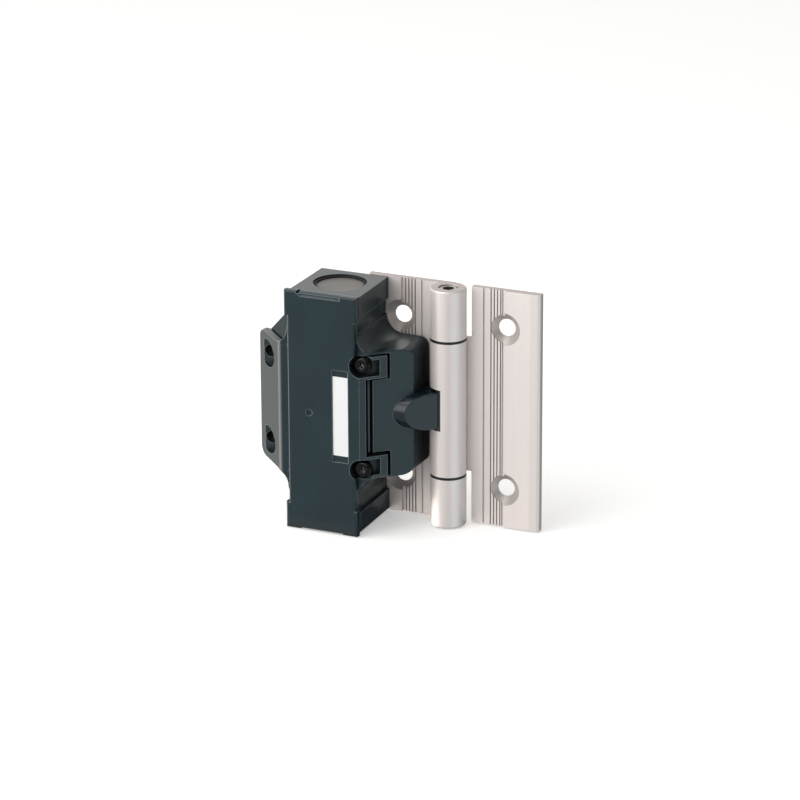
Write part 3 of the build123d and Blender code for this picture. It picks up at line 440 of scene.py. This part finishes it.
def make_world(scene):
    """White to the camera; as light a soft room, pale above and left, dark to the right, with the cards."""
    world = bpy.data.worlds.new("soft_room")
    scene.world = world
    world.use_nodes = True
    world.cycles.sampling_method = "NONE"
    tree = world.node_tree
    direction = add_node(tree, "ShaderNodeTexCoord").outputs["Generated"]
    side = add_node(tree, "ShaderNodeVectorMath", {"operation": "DOT_PRODUCT"}, {1: ROOM_FROM},
                    {0: direction})
    level = add_node(tree, "ShaderNodeMapRange", (),
                     {"From Min": ROOM_TURN[0], "From Max": ROOM_TURN[1],
                      "To Min": ROOM_LIGHT[0], "To Max": ROOM_LIGHT[1]},
                     {"Value": side.outputs["Value"]}).outputs["Result"]
    for aim, start, full, light in CARDS:
        near = add_node(tree, "ShaderNodeVectorMath", {"operation": "DOT_PRODUCT"}, {1: aim}, {0: direction})
        card = add_node(tree, "ShaderNodeMapRange", {"interpolation_type": "SMOOTHSTEP"},
                        {"From Min": start, "From Max": full}, {"Value": near.outputs["Value"]})
        level = add_node(tree, "ShaderNodeMix", {"data_type": "RGBA", "blend_type": "ADD"}, {7: (*light, 1)},
                         {0: card.outputs["Result"], 6: level}).outputs[2]
    path = add_node(tree, "ShaderNodeLightPath")
    seen = mixed(tree, path.outputs["Is Camera Ray"], level, (1, 1, 1))
    tree.links.new(seen, tree.nodes["Background"].inputs["Color"])


# Soft square lamps, turned to the origin: each one's name, place and width in metres, and power in watts.
LAMPS = (
    ("top_softbox", (-0.41, -0.37, 0.95), 0.7, 3.5),
    ("left_softbox", (-1.1, -0.75, 0.45), 0.8, 5.5),
    ("front_softbox", (-0.38, -1.3, 0.45), 0.9, 5.5),
)


def make_lamps(level):
    """A broad lamp above the left shoulder, one from the left and one from the front."""
    for name, place, width, watts in LAMPS:
        data = bpy.data.lights.new(name, "AREA")
        data.shape = "SQUARE"
        data.size = width
        data.energy = watts * level
        lamp = bpy.data.objects.new(name, data)
        bpy.context.scene.collection.objects.link(lamp)
        lamp.location = place
        lamp.rotation_euler = (-Vector(place)).to_track_quat("-Z", "Y").to_euler()


SENSOR_WIDTH = 36.0
FAR_CLIP = 50.0


def make_camera(scene, studio):
    """The camera, turned from the hinge axis to the picture's middle without a roll."""
    a, e = studio.azimuth, studio.elevation
    back = Vector((math.sin(a) * math.cos(e), -math.cos(a) * math.cos(e), math.sin(e)))
    right = Vector((math.cos(a), math.sin(a), 0))
    up = back.cross(right)
    view = (-back + right * studio.aim_right + up * studio.aim_up).normalized()
    side = (right - view * right.dot(view)).normalized()
    top = side.cross(view)
    data = bpy.data.cameras.new("photo_camera")
    data.sensor_width = SENSOR_WIDTH
    data.lens = studio.focal
    data.clip_end = FAR_CLIP
    camera = bpy.data.objects.new("photo_camera", data)
    scene.collection.objects.link(camera)
    turn = Matrix((side, top, -view)).transposed().to_4x4()
    camera.matrix_world = Matrix.Translation(HINGE + back * studio.distance) @ turn
    scene.camera = camera


class HINGESWITCH_OT_leaves(bpy.types.Operator):
    """Finishes of the leaves, the pin, its screws and the bushes"""

    bl_idname = "hingeswitch.leaves"
    bl_label = "Leaves and pin"

    def execute(self, context):
        colours = context.scene.hinge_switch_finishes
        give(anodised_aluminium(tuple(colours.aluminium)), "fixed_leaf", "moving_leaf")
        give(plated_steel("zinc_plated_steel", linear("#A9A7A3"), 0.32), "hinge_pin", "upper_pin_screw",
             "lower_pin_screw")
        give(plain_plastic("moulded_black_acetal", linear("#101112"), 0.4), "upper_bush", "lower_bush")
        give(plated_steel("hardened_dark_steel", linear("#4A4B4D"), 0.3), "switching_cam")
        return {"FINISHED"}


class HINGESWITCH_OT_mouldings(bpy.types.Operator):
    """Finishes of the housing, its cover, the nose, the entry and the seals"""

    bl_idname = "hingeswitch.mouldings"
    bl_label = "Mouldings and seals"

    def execute(self, context):
        colours = context.scene.hinge_switch_finishes
        give(moulded_polyamide(tuple(colours.moulding)), "housing", "front_cover")
        give(plain_plastic("moulded_black_acetal_guide", linear("#0E1F26"), 0.2), "plunger_guide")
        give(plain_plastic("moulded_grey_polyethylene", tuple(colours.plug), 0.45), "entry_plug")
        give(seal_rubber(linear("#0C0D0D")), "entry_ring", "cover_gasket", "plunger_seal")
        give(white_film(tuple(colours.label)), "blank_label")
        return {"FINISHED"}


# Shapes of the screws, beside the sizes that the panel offers. The recess narrows to parts of its length
# and width at its foot, and a cover screw's rim is rounded by a part of the head's radius.
CROSS_FOOT = (0.45, 0.75, 1.0)
COVER_CROSS_DEPTH = 1.5 * MM
COVER_CROSS_TURN = 20
LEAF_CROSS_DEPTH = 1.2 * MM
LEAF_CROSS_TURN = 65
LEAF_SCREW_CONE = 1.4 * MM
SCREW_SIDES = 48
RIM_ROUNDING = 0.32
# A cover screw's shank radius as a part of its head's.
COVER_SHANK = 0.5
EDGE_BREAK = 0.12 * MM
# How far a normal lies along Z, at least, on a face that is taken as a top or, with a minus, as a foot.
LEVEL = 0.99


def edit_faces(wanted):
    """Enters edit mode on the active mesh with only the wanted faces selected, given centre and normal."""
    bpy.ops.object.mode_set(mode="OBJECT")
    mesh = bpy.context.object.data
    for point in mesh.vertices:
        point.select = False
    for edge in mesh.edges:
        edge.select = False
    for face in mesh.polygons:
        face.select = wanted(face.center, face.normal)
    bpy.ops.object.mode_set(mode="EDIT")
    bpy.ops.mesh.select_mode(type="FACE")


def modify(piece, kind, **options):
    """Adds one modifier with its options and applies it."""
    modifier = piece.modifiers.new(kind.lower(), kind)
    for name, value in options.items():
        setattr(modifier, name, value)
    bpy.ops.object.select_all(action="DESELECT")
    piece.select_set(True)
    bpy.context.view_layer.objects.active = piece
    bpy.ops.object.modifier_apply(modifier=modifier.name)


def cross_cutter(top, width, length, depth):
    """Two crossed bars that narrow downwards, as a cross-recess driver does."""
    bars = []
    for turn in (0, math.pi / 2):
        bpy.ops.object.select_all(action="DESELECT")
        bpy.ops.mesh.primitive_cube_add(size=1.0)
        bar = bpy.context.object
        bar.scale = (length, width, 2 * depth)
        bar.location = (0, 0, top)
        bpy.ops.object.transform_apply(location=True, rotation=False, scale=True)
        edit_faces(lambda centre, normal: normal.z < -LEVEL)
        bpy.ops.transform.resize(value=CROSS_FOOT)
        bpy.ops.object.mode_set(mode="OBJECT")
        bar.rotation_euler = (0, 0, turn)
        bpy.ops.object.transform_apply(location=False, rotation=True, scale=False)
        bars.append(bar)
    return bars


def screw_blank(radius, height, flare, shank_radius, shank_length):
    """A screw along -Z with its seat at Z = 0: a head with a rounded rim, or a flush cone, and its shank."""
    bpy.ops.object.select_all(action="DESELECT")
    bpy.ops.mesh.primitive_cone_add(vertices=SCREW_SIDES, radius1=radius - flare, radius2=radius,
                                    depth=height, location=(0, 0, height / 2))
    head = bpy.context.object
    bpy.ops.object.transform_apply(location=True, rotation=False, scale=False)
    if not flare:
        edit_faces(lambda centre, normal: normal.z > LEVEL)
        bpy.ops.mesh.region_to_loop()
        bpy.ops.mesh.bevel(offset=RIM_ROUNDING * radius, segments=5, profile=0.5)
        bpy.ops.object.mode_set(mode="OBJECT")
    edit_faces(lambda centre, normal: normal.z < -LEVEL)
    bpy.ops.mesh.inset(thickness=radius - flare - shank_radius)
    bpy.ops.mesh.extrude_region_move(TRANSFORM_OT_translate={"value": (0, 0, -shank_length)})
    bpy.ops.object.mode_set(mode="OBJECT")
    return head


def place_screws(name, blank, turn, places, material, node):
    """Copies one finished screw to its places and joins them to a piece that stands for a CAD node."""
    copies = []
    for spot in places:
        one = blank.copy()
        one.data = blank.data.copy()
        bpy.context.scene.collection.objects.link(one)
        one.matrix_world = Matrix.Translation(spot) @ turn
        copies.append(one)
    bpy.data.objects.remove(blank)
    bpy.ops.object.select_all(action="DESELECT")
    for one in copies:
        one.select_set(True)
    bpy.context.view_layer.objects.active = copies[0]
    bpy.ops.object.join()
    piece = bpy.context.object
    piece.name = name
    bpy.ops.object.transform_apply(location=True, rotation=True, scale=True)
    bpy.ops.object.shade_smooth_by_angle(angle=math.radians(30))
    piece.data.materials.clear()
    piece.data.materials.append(material)
    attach(piece, "fixed")
    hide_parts(node)


def recessed(blank, top, width, length, depth):
    """Cuts the cross recess and breaks the edges."""
    for bar in cross_cutter(top, width, length, depth):
        modify(blank, "BOOLEAN", operation="DIFFERENCE", object=bar, solver="EXACT")
        bpy.data.objects.remove(bar)
    modify(blank, "BEVEL", width=EDGE_BREAK, segments=2, limit_method="ANGLE", angle_limit=math.radians(35))


def head_turn(tilt, spin):
    """Turns a screw's head from Z to the front or back, after a spin about its own axis, both in degrees."""
    return Matrix.Rotation(math.radians(tilt), 4, "X") @ Matrix.Rotation(math.radians(spin), 4, "Z")


def pair_along_z(node, x, y):
    """The middles of a node's upper and lower screw, from its box."""
    low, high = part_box(node)
    radius = (high[0] - low[0]) / 2
    return [Vector((x, y, high[2] - radius)), Vector((x, y, low[2] + radius))]


class HINGESWITCH_OT_screws(bpy.types.Operator):
    """Cross-recess screws of the cover and the countersunk screws in the fixed leaf's back"""

    bl_idname = "hingeswitch.screws"
    bl_label = "Screws"

    def execute(self, context):
        sizes = context.scene.hinge_switch_screws
        low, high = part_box("cover_screws")
        radius = (high[0] - low[0]) / 2
        length = high[1] - low[1] - sizes.head_height
        blank = screw_blank(radius, sizes.head_height, 0, COVER_SHANK * radius, length)
        recessed(blank, sizes.head_height, sizes.cross_width, sizes.cross_length, COVER_CROSS_DEPTH)
        turn = head_turn(90, COVER_CROSS_TURN)
        spots = pair_along_z("cover_screws", (low[0] + high[0]) / 2, low[1] + sizes.head_height)
        # Its edges are painted a pale steel colour: partly wear, partly a painted highlight.
        steel = plated_steel("blackened_steel", linear("#26272A"), 0.2, linear("#C9C6BC"))
        place_screws("cover_cross_screws", blank, turn, spots, steel, "cover_screws")

        low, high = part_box("leaf_screws")
        radius = (high[0] - low[0]) / 2
        cone = LEAF_SCREW_CONE
        blank = screw_blank(radius, cone, cone, radius - cone, high[1] - low[1] - cone)
        recessed(blank, cone, sizes.cross_width, sizes.cross_length, LEAF_CROSS_DEPTH)
        turn = head_turn(-90, LEAF_CROSS_TURN)
        spots = pair_along_z("leaf_screws", (low[0] + high[0]) / 2, high[1] - cone)
        # Its edges are painted a pale steel colour: partly wear, partly a painted highlight.
        steel = plated_steel("zinc_plated_screw_steel", linear("#A9A7A3"), 0.32, linear("#D8D6D0"))
        place_screws("countersunk_leaf_screws", blank, turn, spots, steel, "leaf_screws")
        return {"FINISHED"}


class HingeSwitchSpring(bpy.types.PropertyGroup):
    """Sizes of the plunger's return spring."""

    wire: FloatProperty(
        name="Wire", description="Thickness of the spring's wire", subtype="DISTANCE", unit="LENGTH",
        default=0.45 * MM)
    turns: FloatProperty(name="Turns", description="Turns of the coil", default=3.5)


class HINGESWITCH_OT_spring(bpy.types.Operator):
    """Round wire coil behind the plunger, at the length of the CAD spring"""

    bl_idname = "hingeswitch.spring"
    bl_label = "Return spring"

    def execute(self, context):
        sizes = context.scene.hinge_switch_spring
        low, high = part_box("return_spring")
        middle = (low + high) / 2
        coil_r = (high[2] - low[2] - sizes.wire) / 2
        # The wire's round ends stay this far inside the CAD spring's box.
        clear = 0.03 * MM
        length = high[0] - low[0] - sizes.wire - 2 * clear
        bpy.ops.object.select_all(action="DESELECT")
        place = (low[0] + clear + sizes.wire / 2, middle[1], middle[2] + coil_r)
        bpy.ops.mesh.primitive_circle_add(vertices=12, radius=sizes.wire / 2, location=place,
                                          rotation=(math.radians(90), 0, 0))
        coil = bpy.context.object
        coil.name = "round_wire_spring"
        bpy.ops.object.transform_apply(location=True, rotation=True, scale=True)
        axle = bpy.data.objects.new("spring_axle", None)
        context.scene.collection.objects.link(axle)
        axle.location = middle
        # The coil is swept in equal parts, because one sweep turns at most once.
        parts = 4
        modify(coil, "SCREW", object=axle, axis="X", angle=math.radians(360) * sizes.turns / parts,
               iterations=parts, screw_offset=length / parts, steps=20, render_steps=20)
        bpy.data.objects.remove(axle)
        bpy.ops.object.mode_set(mode="EDIT")
        bpy.ops.mesh.select_all(action="SELECT")
        bpy.ops.mesh.remove_doubles(threshold=0.001 * MM)
        bpy.ops.mesh.fill_holes(sides=0)
        bpy.ops.mesh.normals_make_consistent(inside=False)
        bpy.ops.object.mode_set(mode="OBJECT")
        bpy.ops.object.shade_smooth_by_angle(angle=math.radians(40))
        coil.data.materials.append(plated_steel("drawn_spring_steel", linear("#B5B3AE"), 0.26))
        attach(coil, "fixed")
        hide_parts("return_spring")
        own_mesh(coil)
        return {"FINISHED"}


class HINGESWITCH_OT_contacts(bpy.types.Operator):
    """Finishes of the plunger, the contact block and the contacts inside"""

    bl_idname = "hingeswitch.contacts"
    bl_label = "Plunger and contacts"

    def execute(self, context):
        give(plain_plastic("moulded_natural_acetal", linear("#DAD5C6"), 0.4), "plunger", "contact_block")
        give(plated_steel("stamped_brass", linear("#C9A45A"), 0.28), "contact_bridges", "fixed_contacts")
        nickel = plated_steel("nickel_plated_steel", linear("#B5B3AE"), 0.26)
        give(nickel, "terminal_clamps", "terminal_screws", "block_screws")
        return {"FINISHED"}


class HINGESWITCH_PT_panel(bpy.types.Panel):
    """Sizes, colours and steps of the hinge switch"""

    bl_label = "Hinge Switch"
    bl_idname = "HINGESWITCH_PT_panel"
    bl_space_type = "VIEW_3D"
    bl_region_type = "UI"
    bl_category = "Hinge Switch"

    def draw(self, context):
        scene = context.scene
        for group in (scene.hinge_switch_finishes, scene.hinge_switch_screws, scene.hinge_switch_spring,
                      scene.hinge_switch_studio):
            for name in group.__annotations__:
                self.layout.prop(group, name)
        for step in STEPS:
            self.layout.operator(step.bl_idname)


STEPS = (
    HINGESWITCH_OT_stage,
    HINGESWITCH_OT_leaves,
    HINGESWITCH_OT_mouldings,
    HINGESWITCH_OT_screws,
    HINGESWITCH_OT_spring,
    HINGESWITCH_OT_contacts,
)
CLASSES = (HingeSwitchFinishes, HingeSwitchScrews, HingeSwitchSpring, HingeSwitchStudio, *STEPS,
           HINGESWITCH_PT_panel)


def register():
    """Adds the classes and the scene's settings."""
    for item in CLASSES:
        bpy.utils.register_class(item)
    bpy.types.Scene.hinge_switch_finishes = PointerProperty(type=HingeSwitchFinishes)
    bpy.types.Scene.hinge_switch_screws = PointerProperty(type=HingeSwitchScrews)
    bpy.types.Scene.hinge_switch_spring = PointerProperty(type=HingeSwitchSpring)
    bpy.types.Scene.hinge_switch_studio = PointerProperty(type=HingeSwitchStudio)


def unregister():
    """Takes the settings and the classes away again."""
    del bpy.types.Scene.hinge_switch_studio
    del bpy.types.Scene.hinge_switch_spring
    del bpy.types.Scene.hinge_switch_screws
    del bpy.types.Scene.hinge_switch_finishes
    for item in reversed(CLASSES):
        bpy.utils.unregister_class(item)


def main():
    """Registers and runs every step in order."""
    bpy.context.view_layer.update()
    register()
    bpy.ops.hingeswitch.stage()
    bpy.ops.hingeswitch.leaves()
    bpy.ops.hingeswitch.mouldings()
    bpy.ops.hingeswitch.screws()
    bpy.ops.hingeswitch.spring()
    bpy.ops.hingeswitch.contacts()


if __name__ == "__main__":
    main()
